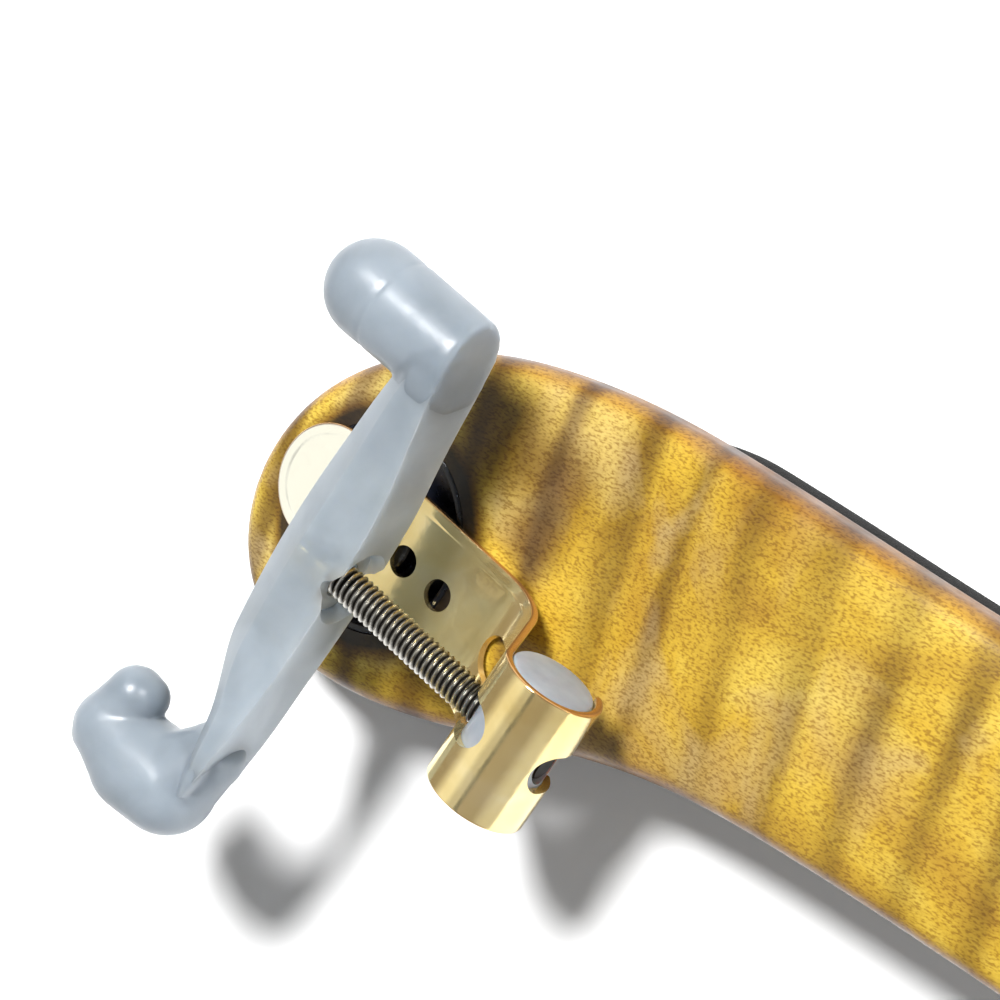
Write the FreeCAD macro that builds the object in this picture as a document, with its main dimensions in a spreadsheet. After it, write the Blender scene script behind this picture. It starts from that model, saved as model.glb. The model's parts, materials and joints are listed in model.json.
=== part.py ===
import FreeCAD, Part
import math
import os

import Sketcher
from FreeCAD import Placement, Rotation, Vector

# Violin shoulder rest, in millimetres. X runs along the wooden bar, Y across it, Z up from pad to forks.
# The origin is the middle of the rest on the surface that the pad stands on.
# Each end carries the same swivelling bracket and leg; the shoulder end is the chest end turned half round.

doc = FreeCAD.newDocument("shoulder_rest")
sheet = doc.addObject("Spreadsheet::Sheet", "dims")

SIZES = {
    # bar, backing and pad
    "bar_half": 105.4, "bar_thick": 6.5, "bar_round": 1.6, "backing_thick": 0.6, "pad_thick": 8.0,
    "pad_inset": 0.8, "pad_lobe_inset": 3.0, "lobe_flat": 66.0, "arch_angle": 12.0, "arch_hollow": 90.0,
    # swivel
    "pivot_across": 2.1, "pivot_from_end": 19.4, "swivel_angle": 18.0,
    "cup_radius": 12.2, "cup_deep": 3.1, "cup_floor": 1.0, "cup_wall": 0.9, "boss_radius": 5.5,
    "screw_radius": 1.77, "screw_head": 3.6, "screw_head_high": 1.8, "screw_hole": 1.85, "screw_slot": 0.9,
    "screw_play": 0.05, "screw_recess": 0.4,
    "washer_radius": 4.2, "washer_thick": 0.5, "tee_flange": 7.0, "tee_flange_thick": 0.9, "tee_neck": 2.6,
    # bracket
    "strip_thick": 0.9, "strip_lift": 0.25, "strip_end_half": 7.3, "strip_root_half": 8.25,
    "strip_end_at": 43.0, "ramp_angle": 65.0, "ramp_round": 9.0, "barrel_high": 11.3,
    "barrel_inner": 5.08, "curl_angle": 232.0, "hole_pitch": 6.05, "pivot_at": 35.3, "slot_half": 2.5,
    "slot_front": 87.0, "slot_back": 150.0, "slot_low": -14.0, "slot_ramp_at": 13.5, "slot_relief": 9.0,
    # leg
    "nut_radius": 5.0, "nut_half": 7.95, "nut_bore": 2.14, "stud_radius": 2.083, "stud_tail": 4.6,
    "stud_top": 31.6, "stud_chamfer": 0.4, "leg_angle": 6.0, "running_gap": 0.06,
    # fork
    "fork_half_thick": 4.0, "fork_low": 24.9, "fork_low_end": 26.8, "fork_low_at": -2.0, "fork_round": 1.4,
    "fork_high": 34.9, "fork_high_end": 30.9, "fork_high_at": 3.0,
    "front_claw_at": 28.0, "rear_claw_at": 32.2, "claw_radius": 5.2, "claw_top": 46.4, "claw_lean": 6.0,
    "peg_radius": 2.9, "peg_top": 41.0, "insert_radius": 3.1, "insert_low": 27.2, "insert_high": 31.8,
    "counterbore": 4.4, "collar_reach": 6.3, "collar_wall": 1.0, "collar_round": 1.3, "collar_rise": 1.5,
    "sole_proud": 0.45, "sole_thick": 2.4, "sole_drop": 0.8,
    "lip_reach": 2.4, "lip_radius": 3.3, "hook_reach": 7.6, "hook_drop": 1.4,
}
for row, (alias, value) in enumerate(SIZES.items(), start=1):
    sheet.set(f"A{row}", alias)
    sheet.set(f"B{row}", str(value))
    sheet.setAlias(f"B{row}", alias)
doc.recompute()


def size(alias):
    """One driving dimension, read from the sheet."""
    return float(getattr(sheet, alias))


# Heights of the flat lobes at the bar's ends
PAD_TOP = size("pad_thick")
BAR_LOW = PAD_TOP + size("backing_thick")
BAR_TOP = BAR_LOW + size("bar_thick")
STRIP_LOW = BAR_TOP + size("strip_lift")
STRIP_TOP = STRIP_LOW + size("strip_thick")
BARREL_Z = STRIP_TOP + size("barrel_high")
PIVOT = Vector(size("pivot_from_end") - size("bar_half"), -size("pivot_across"), 0)

# Frames. In the bracket's frame the barrel's centre is the origin, +X points to the rest's middle and +Y runs
# along the barrel. In the leg's frame +Z runs up the stud, +Y stays along the barrel, and the front claw's
# lip points to -X.
BRACKET_TURN = Rotation(Vector(0, 0, 1), -size("swivel_angle"))
BARREL_CENTRE = PIVOT + BRACKET_TURN.multVec(Vector(size("pivot_at"), 0, 0)) + Vector(0, 0, BARREL_Z)
LEG_TURN = Rotation(Vector(0, 1, 0), size("leg_angle") - 90)
HALF_TURN = Placement(Vector(0, 0, 0), Rotation(Vector(0, 0, 1), 180))
BRACKET_PLACE = Placement(BARREL_CENTRE, BRACKET_TURN)
LEG_PLACE = Placement(BARREL_CENTRE, BRACKET_TURN.multiply(LEG_TURN))
ENDS = {"chest": Placement(), "shoulder": HALF_TURN}

nodes = {}


def keep(node, label, place):
    """Names a finished sub-part and puts it in the rest's frame."""
    node.Label = label
    node.Placement = place
    nodes[label] = node
    return node


def keep_shape(label, shape, place):
    """A sub-part whose shape is built with Part's own functions."""
    node = doc.addObject("Part::Feature", label)
    node.Shape = shape
    return keep(node, label, place)


def cylinder(name, radius, height, low):
    """A cylinder along Z whose sizes are expressions on the sheet, or plain numbers."""
    rod = doc.addObject("Part::Cylinder", name)
    for prop, value in (("Radius", radius), ("Height", height), ("Placement.Base.z", low)):
        rod.setExpression(prop, value if isinstance(value, str) else repr(float(value)))
    return rod


def fuse(name, *pieces):
    joined = doc.addObject("Part::MultiFuse", name)
    joined.Shapes = list(pieces)
    joined.Refine = True
    return joined


def cut(name, base, tool):
    result = doc.addObject("Part::Cut", name)
    result.Base = base
    result.Tool = tool
    result.Refine = True
    return result


def circle_sketch(body, name, plane, radius):
    """A sketch of one circle about the body's origin, its radius bound to the sheet."""
    sketch = body.newObject("Sketcher::SketchObject", name)
    support = [f for f in body.Origin.OriginFeatures if f.Role == plane][0]
    sketch.AttachmentSupport = [(support, "")]
    sketch.MapMode = "FlatFace"
    sketch.addGeometry(Part.Circle(Vector(0, 0, 0), Vector(0, 0, 1), 2.0), False)
    sketch.addConstraint(Sketcher.Constraint("Coincident", 0, 3, -1, 1))
    sketch.addConstraint(Sketcher.Constraint("Radius", 0, 2.0))
    sketch.renameConstraint(1, "radius")
    sketch.setExpression("Constraints.radius", radius)
    return sketch


# ---------------------------------------------------------------- bar, backing and pad

def bar_edge():
    """Points along the bar's +Y edge, chest end first. The -Y edge is these turned half round."""
    lobe = [(-104.6, 0.8), (-100.3, 8.9), (-92.5, 15.6), (-80.5, 20.5), (-66.3, 22.2)]
    waist = [(-48.8, 21.7), (-30.7, 19.9), (-12.0, 17.4), (6.0, 15.1), (24.0, 13.7), (40.0, 13.9)]
    far_lobe = [(54.0, 16.2), (68.0, 19.4), (80.5, 21.3), (91.5, 20.8), (99.8, 17.2), (104.4, 10.6)]
    return lobe + waist + far_lobe


def plan_face(inset, lobe_inset):
    """The bar's outline as a face, moved in by inset along its waist and by lobe_inset round its lobes."""
    edge = bar_edge()
    wide = max(y for _, y in edge)
    lobe = size("lobe_flat")
    loop = []
    for x, y in edge + [(-x, -y) for x, y in edge]:
        share = min(1, max(0, abs(x) - lobe * 2 / 3) / (lobe / 3))
        shrink = inset + (lobe_inset - inset) * share
        loop.append(Vector(x * (1 - shrink / size("bar_half")), y * (1 - shrink / wide), 0))
    curve = Part.BSplineCurve()
    curve.interpolate(loop, PeriodicFlag=True)
    return Part.Face(Part.Wire(curve.toShape()))


def arch_edges(depth):
    """The bar's side profile at a depth below its upper face: flat, hollow arc, crown, hollow arc, flat."""
    flat, turn = size("lobe_flat"), math.radians(size("arch_angle"))
    hollow = size("arch_hollow")
    crown = (flat - hollow * math.sin(turn)) / math.sin(turn)
    rise = (hollow + crown) * (1 - math.cos(turn))
    far = size("bar_half") + 10

    def on_hollow(angle):
        radius = hollow + depth
        return -flat + radius * math.sin(angle), BAR_TOP + hollow - radius * math.cos(angle)

    def on_crown(angle):
        radius = crown - depth
        return radius * math.sin(angle), BAR_TOP + rise - crown + radius * math.cos(angle)

    def point(xz, side=1):
        return Vector(side * xz[0], 0, xz[1])

    start, bend = on_hollow(0), on_hollow(turn)
    left = [Part.LineSegment(Vector(-far, 0, start[1]), point(start)),
            Part.Arc(point(start), point(on_hollow(turn / 2)), point(bend))]
    middle = [Part.Arc(point(bend), point(on_crown(0)), point(bend, -1))]
    right = [Part.Arc(point(bend, -1), point(on_hollow(turn / 2), -1), point(start, -1)),
             Part.LineSegment(point(start, -1), Vector(far, 0, start[1]))]
    return [piece.toShape() for piece in left + middle + right]


def band(upper, lower):
    """A solid between two depths below the bar's upper face, much wider than the bar."""
    top, low = arch_edges(upper), arch_edges(lower)
    side_a = Part.LineSegment(top[0].Vertexes[0].Point, low[0].Vertexes[0].Point).toShape()
    side_b = Part.LineSegment(top[-1].Vertexes[-1].Point, low[-1].Vertexes[-1].Point).toShape()
    face = Part.Face(Part.Wire(Part.__sortEdges__(top + [side_b] + low + [side_a])))
    wide = 2 * size("bar_half")
    face.translate(Vector(0, -wide / 2, 0))
    return face.extrude(Vector(0, wide, 0))


def bar_layer(upper, lower, inset, lobe_inset):
    """One layer of the bar: its outline, cut from the arched band between two depths."""
    column = plan_face(inset, lobe_inset).extrude(Vector(0, 0, 4 * BARREL_Z))
    return column.common(band(upper, lower)).Solids[0]


def rim_edges(layer):
    """The edges where a layer's side meets its upper and lower faces."""
    upper_lower = ("Part::GeomPlane", "Part::GeomCylinder")
    sides = [face for face in layer.Faces if face.Surface.TypeId not in upper_lower]
    return [edge for side in sides for edge in side.Edges if edge.Curve.TypeId != "Part::GeomLine"]


def make_bar():
    wood = bar_layer(0, size("bar_thick"), 0, 0)
    wood = wood.makeFillet(size("bar_round"), rim_edges(wood))
    for turn in ENDS.values():
        centre = turn.multVec(PIVOT)
        cup_floor = centre + Vector(0, 0, BAR_TOP - size("cup_deep"))
        below = centre + Vector(0, 0, BAR_LOW - 1)
        cup = Part.makeCylinder(size("cup_radius"), size("cup_deep") + 1, cup_floor)
        neck = Part.makeCylinder(size("tee_neck"), size("bar_thick") + 2, below)
        flange = Part.makeCylinder(size("tee_flange"), size("tee_flange_thick") + 1, below)
        wood = wood.cut(cup).cut(neck).cut(flange)
    return wood


def make_pad():
    top = size("bar_thick") + size("backing_thick")
    return bar_layer(top, top + size("pad_thick"), size("pad_inset"), size("pad_lobe_inset"))


def make_backing():
    top = size("bar_thick")
    return bar_layer(top, top + size("backing_thick"), size("pad_inset") / 2, size("pad_lobe_inset") / 2)


# ---------------------------------------------------------------- swivel

def make_cup(end):
    """Round black cup let into the bar, with a boss that the bracket turns on."""
    low = BAR_TOP - size("cup_deep")
    floor = low + size("cup_floor")
    boss_high = "dims.cup_deep + dims.strip_lift - dims.screw_play"
    outer = cylinder(f"cup_outer_{end}", "dims.cup_radius", "dims.cup_deep", low)
    inner = cylinder(f"cup_inner_{end}", "dims.cup_radius - dims.cup_wall", "dims.cup_deep", floor)
    boss = cylinder(f"cup_boss_{end}", "dims.boss_radius", boss_high, low)
    bore = cylinder(f"cup_bore_{end}", "dims.screw_hole", "3 * dims.cup_deep", low - 1)
    return cut(f"cup_{end}", fuse(f"cup_body_{end}", cut(f"cup_shell_{end}", outer, inner), boss), bore)


def make_screw(end):
    """Pan-head pivot screw with a driver slot."""
    seat = STRIP_TOP + size("screw_play") + size("washer_thick")
    shank_low = BAR_LOW + size("screw_recess")
    shank = cylinder(f"screw_shank_{end}", "dims.screw_radius", seat - shank_low, shank_low)
    head = cylinder(f"screw_head_{end}", "dims.screw_head", "dims.screw_head_high", seat)
    slot = doc.addObject("Part::Box", f"screw_slot_{end}")
    slot.setExpression("Length", "3 * dims.screw_head")
    slot.setExpression("Width", "dims.screw_slot")
    slot.setExpression("Height", "dims.screw_head_high")
    slot.setExpression("Placement.Base.x", "-1.5 * dims.screw_head")
    slot.setExpression("Placement.Base.y", "-dims.screw_slot / 2")
    slot.setExpression("Placement.Base.z", f"{seat} + dims.screw_head_high * 0.5")
    return cut(f"screw_{end}", fuse(f"screw_blank_{end}", shank, head), slot)


def make_washer(end):
    low = STRIP_TOP + size("screw_play")
    rim = cylinder(f"washer_rim_{end}", "dims.washer_radius", "dims.washer_thick", low)
    below = low - size("washer_thick")
    hole = cylinder(f"washer_hole_{end}", "dims.screw_hole + dims.screw_play", "3 * dims.washer_thick", below)
    return cut(f"washer_{end}", rim, hole)


def make_tee_nut(end):
    """Flanged nut pressed into the bar from the pad side."""
    flange = cylinder(f"tee_flange_{end}", "dims.tee_flange", "dims.tee_flange_thick", BAR_LOW)
    neck_high = size("bar_thick") - size("cup_deep")
    neck = cylinder(f"tee_neck_{end}", "dims.tee_neck", neck_high, BAR_LOW)
    bore = cylinder(f"tee_bore_{end}", "dims.screw_radius", "3 * dims.bar_thick", BAR_LOW - 1)
    return cut(f"tee_{end}", fuse(f"tee_body_{end}", flange, neck), bore)


# ---------------------------------------------------------------- bracket

def polar(radius, degrees):
    """A point round the barrel's axis: 0 degrees faces the pivot, 90 is up, 180 faces the rest's middle."""
    angle = math.radians(degrees)
    return Vector(-radius * math.cos(angle), 0, radius * math.sin(angle))


def strip_section():
    """Section of the bent strip across the barrel's axis: flat plate, ramp bend, ramp, and the curl."""
    thick = size("strip_thick")
    mid = size("barrel_inner") + thick / 2
    lead = 90 - size("ramp_angle")
    up = Vector(math.sin(math.radians(lead)), 0, math.cos(math.radians(lead)))
    plate_mid = -size("barrel_high") - thick / 2
    tip = -(size("strip_end_at") + size("strip_end_half"))
    run = (polar(mid, lead).z - plate_mid) / up.z
    corner = polar(mid, lead) - up * run
    bend = size("ramp_round")
    tangent = bend * math.tan(math.radians(size("ramp_angle") / 2))
    centre = Vector(corner.x - tangent, 0, plate_mid + bend)

    def on_bend(radius, degrees):
        angle = math.radians(degrees)
        return centre + Vector(radius * math.sin(angle), 0, -radius * math.cos(angle))

    def path(offset):
        """One face of the strip. A positive offset is below the plate and inside the curl."""
        bend_radius, curl_radius = bend + offset, mid - offset
        turn, stop = size("ramp_angle"), size("curl_angle")
        bend_start, bend_stop = on_bend(bend_radius, 0), on_bend(bend_radius, turn)
        curl_start, curl_stop = polar(curl_radius, lead), polar(curl_radius, stop)
        pieces = [Part.LineSegment(Vector(tip, 0, plate_mid - offset), bend_start),
                  Part.Arc(bend_start, on_bend(bend_radius, turn / 2), bend_stop),
                  Part.LineSegment(bend_stop, curl_start),
                  Part.Arc(curl_start, polar(curl_radius, (lead + stop) / 2), curl_stop)]
        return [piece.toShape() for piece in pieces]

    near, off = path(thick / 2), path(-thick / 2)
    cap_a = Part.LineSegment(near[0].Vertexes[0].Point, off[0].Vertexes[0].Point).toShape()
    cap_b = Part.LineSegment(near[-1].Vertexes[-1].Point, off[-1].Vertexes[-1].Point).toShape()
    return Part.Face(Part.Wire(Part.__sortEdges__(near + [cap_b] + off + [cap_a])))


def strip_plan():
    """Plan of the strip: the barrel's full width, tapering to a round end."""
    root, end, at = size("strip_root_half"), size("strip_end_half"), size("strip_end_at")
    wide_from = 2 * size("barrel_inner")
    corners = [Vector(wide_from, root, 0), Vector(-wide_from, root, 0), Vector(-at, end, 0)]
    mirrored = [Vector(c.x, -c.y, 0) for c in corners]
    lines = [Part.LineSegment(corners[0], corners[1]), Part.LineSegment(corners[1], corners[2]),
             Part.Arc(corners[2], Vector(-at - end, 0, 0), mirrored[2]),
             Part.LineSegment(mirrored[2], mirrored[1]), Part.LineSegment(mirrored[1], mirrored[0]),
             Part.LineSegment(mirrored[0], corners[0])]
    face = Part.Face(Part.Wire([line.toShape() for line in lines]))
    face.translate(Vector(0, 0, -3 * size("barrel_high")))
    return face.extrude(Vector(0, 0, 6 * size("barrel_high")))


def stud_slot(first, last):
    """Tool for the slot that the stud swings in, from one angle round the barrel to another."""
    half, reach = size("slot_half"), 2 * size("barrel_inner")
    stadium = None
    steps = max(2, int(abs(last - first) / 12))
    for i in range(steps + 1):
        angle = first + (last - first) * i / steps
        rod = Part.makeCylinder(half, reach, Vector(0, 0, 0), polar(1, angle))
        stadium = rod if stadium is None else stadium.fuse(rod)
    sector = Part.makeCylinder(reach, 2 * half, Vector(0, -half, 0), Vector(0, 1, 0), 360)
    wedge_points = [Vector(0, -half, 0)] + [polar(3 * reach, a) - Vector(0, half, 0)
                                            for a in (first, (first + last) / 2, last)]
    wedge = Part.Face(Part.makePolygon(wedge_points + [wedge_points[0]])).extrude(Vector(0, 2 * half, 0))
    return stadium.fuse(sector.common(wedge))


def make_bracket():
    wide = size("strip_root_half")
    section = strip_section()
    section.translate(Vector(0, -wide, 0))
    strip = section.extrude(Vector(0, 2 * wide, 0)).common(strip_plan())
    for step in range(3):
        across, below = -size("pivot_at") + step * size("hole_pitch"), 2 * size("strip_thick")
        hole_low = Vector(across, 0, -size("barrel_high") - below)
        strip = strip.cut(Part.makeCylinder(size("screw_hole"), 2 * below, hole_low))
    margin = math.degrees(math.asin(size("slot_half") / (size("barrel_inner") + size("strip_thick"))))
    strip = strip.cut(stud_slot(size("slot_low"), size("slot_front") - margin))
    strip = strip.cut(stud_slot(size("slot_back") + margin, size("curl_angle") + 2 * margin))
    half, deep = size("slot_half"), size("slot_relief")
    start = half - size("slot_ramp_at")
    relief = Part.makeBox(-start - half, 2 * half, deep, Vector(start, -half, -deep))
    relief_end = Part.makeCylinder(half, deep, Vector(start, 0, -deep))
    return strip.cut(relief).cut(relief_end).Solids[0]


# ---------------------------------------------------------------- leg

def make_nut(end):
    """Nylon barrel nut: a cylinder along Y with a cross bore for the stud."""
    body = doc.addObject("PartDesign::Body", f"nut_{end}")
    rod = body.newObject("PartDesign::Pad", f"nut_pad_{end}")
    rod.Profile = circle_sketch(body, f"nut_circle_{end}", "XZ_Plane", "dims.nut_radius")
    rod.setExpression("Length", "2 * dims.nut_half")
    rod.SideType = "Symmetric"
    doc.recompute()
    bore = body.newObject("PartDesign::Pocket", f"nut_bore_{end}")
    bore.Profile = circle_sketch(body, f"nut_bore_circle_{end}", "XY_Plane", "dims.nut_bore")
    bore.setExpression("Length", "4 * dims.nut_radius")
    bore.SideType = "Symmetric"
    return body


def make_stud(end):
    """Threaded stud, drawn at its outer diameter, with both ends chamfered."""
    body = doc.addObject("PartDesign::Body", f"stud_{end}")
    rod = body.newObject("PartDesign::Pad", f"stud_pad_{end}")
    rod.Profile = circle_sketch(body, f"stud_circle_{end}", "XY_Plane", "dims.stud_radius")
    rod.setExpression("Length", "dims.stud_top")
    rod.SideType = "Two sides"
    rod.setExpression("Length2", "dims.stud_tail")
    doc.recompute()
    bevel = body.newObject("PartDesign::Chamfer", f"stud_bevel_{end}")
    round_edges = [e.Curve.TypeId == "Part::GeomCircle" for e in rod.Shape.Edges]
    rims = [f"Edge{i}" for i, is_round in enumerate(round_edges, start=1) if is_round]
    bevel.Base = (rod, rims)
    bevel.setExpression("Size", "dims.stud_chamfer")
    return body


def make_insert(end):
    """Brass thread insert moulded into the fork."""
    long = "dims.insert_high - dims.insert_low"
    rod = cylinder(f"insert_rod_{end}", "dims.insert_radius", long, "dims.insert_low")
    high = size("insert_high") - size("insert_low")
    below = size("insert_low") - high
    bore = cylinder(f"insert_bore_{end}", "dims.stud_radius + dims.running_gap", 3 * high, below)
    return cut(f"insert_{end}", rod, bore)


def fork_bar():
    """The fork's lens-shaped bar between the claws, extruded through its thickness."""
    front, rear = size("front_claw_at"), -size("rear_claw_at")
    low_end, high_end, half = size("fork_low_end"), size("fork_high_end"), size("fork_half_thick")
    low_mid = Vector(-half, size("fork_low_at"), size("fork_low"))
    high_mid = Vector(-half, size("fork_high_at"), size("fork_high"))
    low_rear, low_front = Vector(-half, rear, low_end), Vector(-half, front, low_end)
    high_rear, high_front = Vector(-half, rear, high_end), Vector(-half, front, high_end)
    edges = [Part.Arc(low_rear, low_mid, low_front), Part.LineSegment(low_front, high_front),
             Part.Arc(high_front, high_mid, high_rear), Part.LineSegment(high_rear, low_rear)]
    bar = Part.Face(Part.Wire([e.toShape() for e in edges])).extrude(Vector(2 * half, 0, 0))
    long_edges = [e for e in bar.Edges if e.BoundBox.YLength > 0.9 * (front - rear)]
    return bar.makeFillet(size("fork_round"), long_edges)


def claw_line(side):
    """Foot and tip of a claw's middle line. The rear claw leans outwards."""
    foot, tip = size("fork_low_end"), size("claw_top") - size("claw_radius")
    if side == "front":
        at = size("front_claw_at")
        return Vector(0, at, foot), Vector(0, at, tip)
    at, lean = -size("rear_claw_at"), (tip - foot) * math.tan(math.radians(size("claw_lean")))
    return Vector(0, at + lean / 2, foot), Vector(0, at - lean / 2, tip)


def rod_between(start, stop, radius):
    """A round rod from one point to another."""
    line = stop - start
    return Part.makeCylinder(radius, line.Length, start, line)


def make_core():
    """Clear fork: its bar with a peg inside each claw, and a counterbored hole for the insert."""
    core = fork_bar()
    for side in ("front", "rear"):
        foot, tip = claw_line(side)
        along = (tip - foot).normalize()
        peg_length = (size("peg_top") - foot.z) / along.z
        peg_foot = foot + along * size("peg_radius") / 2
        core = core.fuse(rod_between(peg_foot, foot + along * peg_length, size("peg_radius")))
    below = size("fork_low") - 2
    seat, roof = size("insert_low"), size("insert_high")
    core = core.cut(Part.makeCylinder(size("counterbore"), seat - below, Vector(0, 0, below)))
    core = core.cut(Part.makeCylinder(size("insert_radius"), roof - below, Vector(0, 0, below)))
    return core.removeSplitter().Solids[0]


def make_boot(side, core):
    """Claw cover: a round finger with a hooked lip, and a collar over the end of the fork's bar."""
    foot, tip = claw_line(side)
    radius = size("claw_radius")
    along = (tip - foot).normalize()
    finger = rod_between(foot, tip + along * radius, radius)
    rings = [e for e in finger.Edges if e.Curve.TypeId == "Part::GeomCircle"]
    crown = [ring for ring in rings if ring.CenterOfMass.z > tip.z]
    finger = finger.makeFillet(0.9 * radius, crown)
    inward = -1 if side == "front" else 1
    reach = size("collar_reach")
    half = size("fork_half_thick") + size("collar_wall")
    low, high = size("fork_low_end") - size("sole_drop"), size("fork_high_end") + size("collar_rise")
    across = sorted((foot.y, foot.y + inward * reach))
    collar = Part.makeBox(2 * half, across[1] - across[0], high - low, Vector(-half, across[0], low))
    long_edges = [e for e in collar.Edges if e.BoundBox.YLength > reach * 0.9]
    collar = collar.makeFillet(size("collar_round"), long_edges)
    sole_low = foot - Vector(0, 0, size("sole_drop"))
    sole = Part.makeCylinder(radius + size("sole_proud"), size("sole_thick"), sole_low)
    lip = Part.makeSphere(size("lip_radius"), tip + Vector(-size("lip_reach"), 0, 0))
    if side == "rear":
        lip = rod_between(tip, tip + Vector(0, size("hook_reach"), -size("hook_drop")), size("lip_radius"))
    boot = finger.fuse(sole).fuse(collar).fuse(lip).cut(core)
    return max(boot.Solids, key=lambda s: s.Volume)


# ---------------------------------------------------------------- the rest

keep_shape("wood_body", make_bar(), Placement())
keep_shape("pad_backing", make_backing(), Placement())
keep_shape("foam_pad", make_pad(), Placement())
bracket_shape, core_shape = make_bracket(), make_core()
boot_shapes = {side: make_boot(side, core_shape) for side in ("front", "rear")}

for end, turn in ENDS.items():
    at_pivot = turn.multiply(Placement(PIVOT, Rotation()))
    at_leg = turn.multiply(LEG_PLACE)
    keep(make_cup(end), f"pivot_cup_{end}", at_pivot)
    keep(make_tee_nut(end), f"tee_nut_{end}", at_pivot)
    keep(make_washer(end), f"spring_washer_{end}", at_pivot)
    keep(make_screw(end), f"pivot_screw_{end}", at_pivot)
    keep_shape(f"bracket_{end}", bracket_shape, turn.multiply(BRACKET_PLACE))
    keep(make_nut(end), f"nylon_barrel_{end}", at_leg)
    keep(make_stud(end), f"leg_stud_{end}", at_leg)
    keep(make_insert(end), f"thread_insert_{end}", at_leg)
    keep_shape(f"fork_core_{end}", core_shape, at_leg)
    for side, boot in boot_shapes.items():
        keep_shape(f"claw_boot_{side}_{end}", boot, at_leg)

doc.recompute()
failed = [o.Name for o in doc.Objects if "Invalid" in o.State or "Error" in o.State]
broken = [label for label, node in nodes.items() if node.Shape.isNull() or not node.Shape.isValid()]
if failed or broken:
    raise RuntimeError(f"failed objects {failed}, broken shapes {broken}")

os.makedirs("parts", exist_ok=True)
for label, node in nodes.items():
    node.Shape.exportStep(os.path.join("parts", f"{label}.step"))
    print(label, "solids", len(node.Shape.Solids), "volume", round(node.Shape.Volume, 1))
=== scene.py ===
import json
import math

import bmesh
import bpy
import numpy as np
from mathutils import Matrix, Vector


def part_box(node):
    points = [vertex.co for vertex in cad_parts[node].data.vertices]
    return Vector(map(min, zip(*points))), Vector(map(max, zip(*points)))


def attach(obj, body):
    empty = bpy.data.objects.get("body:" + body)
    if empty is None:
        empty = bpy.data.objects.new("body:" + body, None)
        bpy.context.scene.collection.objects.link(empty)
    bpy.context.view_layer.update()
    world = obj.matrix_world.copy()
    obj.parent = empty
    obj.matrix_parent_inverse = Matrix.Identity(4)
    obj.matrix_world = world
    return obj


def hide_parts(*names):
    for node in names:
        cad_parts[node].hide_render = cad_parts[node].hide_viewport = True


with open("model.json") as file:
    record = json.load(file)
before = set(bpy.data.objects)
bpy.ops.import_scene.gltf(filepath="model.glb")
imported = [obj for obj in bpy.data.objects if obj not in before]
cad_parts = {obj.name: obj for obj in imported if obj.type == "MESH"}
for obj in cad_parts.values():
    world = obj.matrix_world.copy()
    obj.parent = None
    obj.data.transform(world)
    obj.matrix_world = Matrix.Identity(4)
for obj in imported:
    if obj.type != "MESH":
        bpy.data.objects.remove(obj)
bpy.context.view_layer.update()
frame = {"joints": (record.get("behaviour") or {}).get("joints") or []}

# Violin shoulder rest. Lengths in the pieces' own frames are millimetres; objects are in metres.
MM = 0.001
ENDS = ("chest", "shoulder")
JOINTS = {joint["name"]: joint for joint in frame["joints"]}


# ---------------------------------------------------------------- frames

def frame_at(x_axis, y_axis, z_axis, origin):
    """Matrix from a local frame in millimetres to the rest's frame in metres."""
    columns = [Vector(axis) * MM for axis in (x_axis, y_axis, z_axis)] + [Vector(origin)]
    rows = [[column[i] for column in columns] for i in range(3)] + [[0, 0, 0, 1]]
    return Matrix(rows)


UP = Vector((0, 0, 1))
REST = frame_at((1, 0, 0), (0, 1, 0), UP, (0, 0, 0))
LEG, BRACKET, PIVOT = {}, {}, {}
for end in ENDS:
    barrel_axis = Vector(JOINTS[f"leg_fold_{end}"]["axis"]).normalized()
    barrel_centre = Vector(JOINTS[f"leg_fold_{end}"]["pos_m"])
    stud_axis = Vector(JOINTS[f"leg_height_{end}"]["axis"]).normalized()
    inward = barrel_axis.cross(UP).normalized()
    swivel = Vector(JOINTS[f"bracket_swivel_{end}"]["pos_m"])
    LEG[end] = frame_at(barrel_axis.cross(stud_axis), barrel_axis, stud_axis, barrel_centre)
    BRACKET[end] = frame_at(inward, barrel_axis, UP, barrel_centre)
    PIVOT[end] = frame_at(inward, barrel_axis, UP, (swivel.x, swivel.y, 0))


# ---------------------------------------------------------------- mesh helpers

def smooth_step(value):
    """0 below 0, 1 above 1, and an S curve between."""
    share = min(1.0, max(0.0, value))
    return share ** 2 * (3 - 2 * share)


def put(name, skin, place):
    """Makes an object from a bmesh in local millimetres, with its place in its vertices."""
    mesh = bpy.data.meshes.new(name)
    bmesh.ops.recalc_face_normals(skin, faces=skin.faces)
    skin.transform(place)
    if place.determinant() < 0:
        bmesh.ops.reverse_faces(skin, faces=skin.faces)
    skin.to_mesh(mesh)
    skin.free()
    piece = bpy.data.objects.new(name, mesh)
    bpy.context.scene.collection.objects.link(piece)
    shade(piece)
    return piece


def shade(piece, smooth_angle=35):
    """Smooth shading that keeps edges sharper than the angle."""
    piece.data.shade_smooth()
    piece.data.set_sharp_from_angle(angle=math.radians(smooth_angle))


def apply_modifiers(piece):
    """Bakes the piece's modifiers into its mesh."""
    graph = bpy.context.evaluated_depsgraph_get()
    graph.update()
    mesh = bpy.data.meshes.new_from_object(piece.evaluated_get(graph))
    piece.modifiers.clear()
    old = piece.data
    piece.data = mesh
    bpy.data.meshes.remove(old)


def carve(piece, *tools):
    """Cuts the tools out of the piece and throws the tools away."""
    for tool in tools:
        cutter = piece.modifiers.new("cut", "BOOLEAN")
        cutter.operation = "DIFFERENCE"
        cutter.solver = "EXACT"
        cutter.object = tool
    apply_modifiers(piece)
    for tool in tools:
        bpy.data.objects.remove(tool)


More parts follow.
